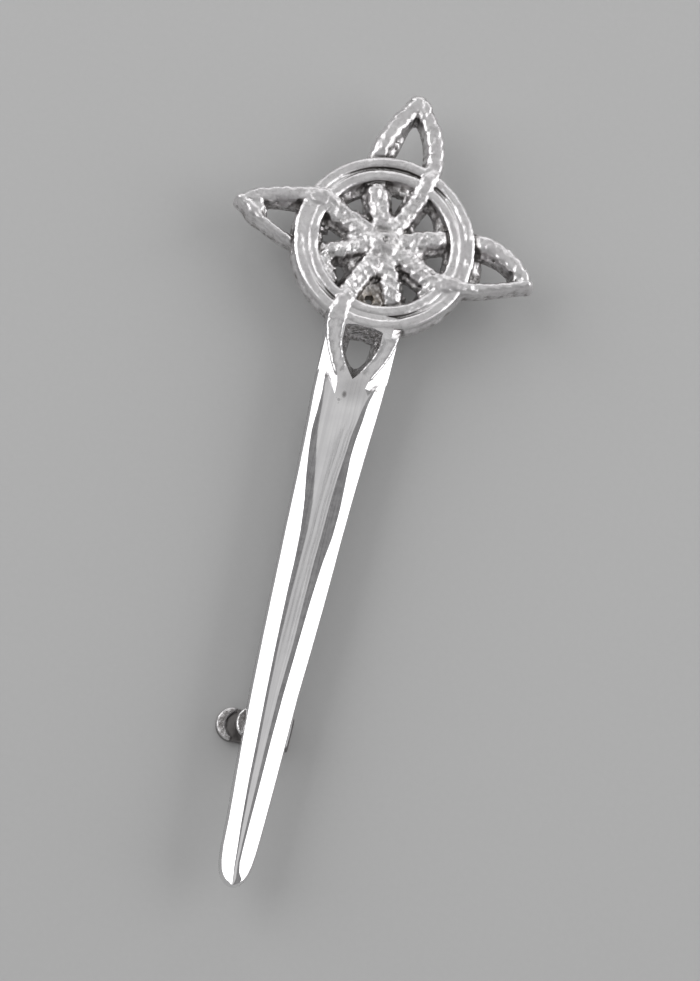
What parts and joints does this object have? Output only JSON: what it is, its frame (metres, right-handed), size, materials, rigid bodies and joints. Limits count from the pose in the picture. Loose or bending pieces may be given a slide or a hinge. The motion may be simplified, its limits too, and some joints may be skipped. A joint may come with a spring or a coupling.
{
  "type": "kilt pin",
  "caption": "Kilt pin: a ringed cross head with an interlaced knot and a spoked wheel, on a long bevelled dirk blade, with a stem and catch behind it.",
  "frame": {"origin": "middle of the whole length and width, on the surface that the pin lies on", "axes": "+Z out of the front face, +Y along the blade towards the head, +X to the right as the front is seen"},
  "size_m": [0.033, 0.0878, 0.0071],
  "materials": {
    "cast_metal": "mirror polish on the blade and the ring, rough cast texture on the strands and in the recesses",
    "wire": "bright drawn wire"
  },
  "bodies": {
    "root": {"casting": "cast_metal", "pin": "wire"}
  },
  "joints": []
}
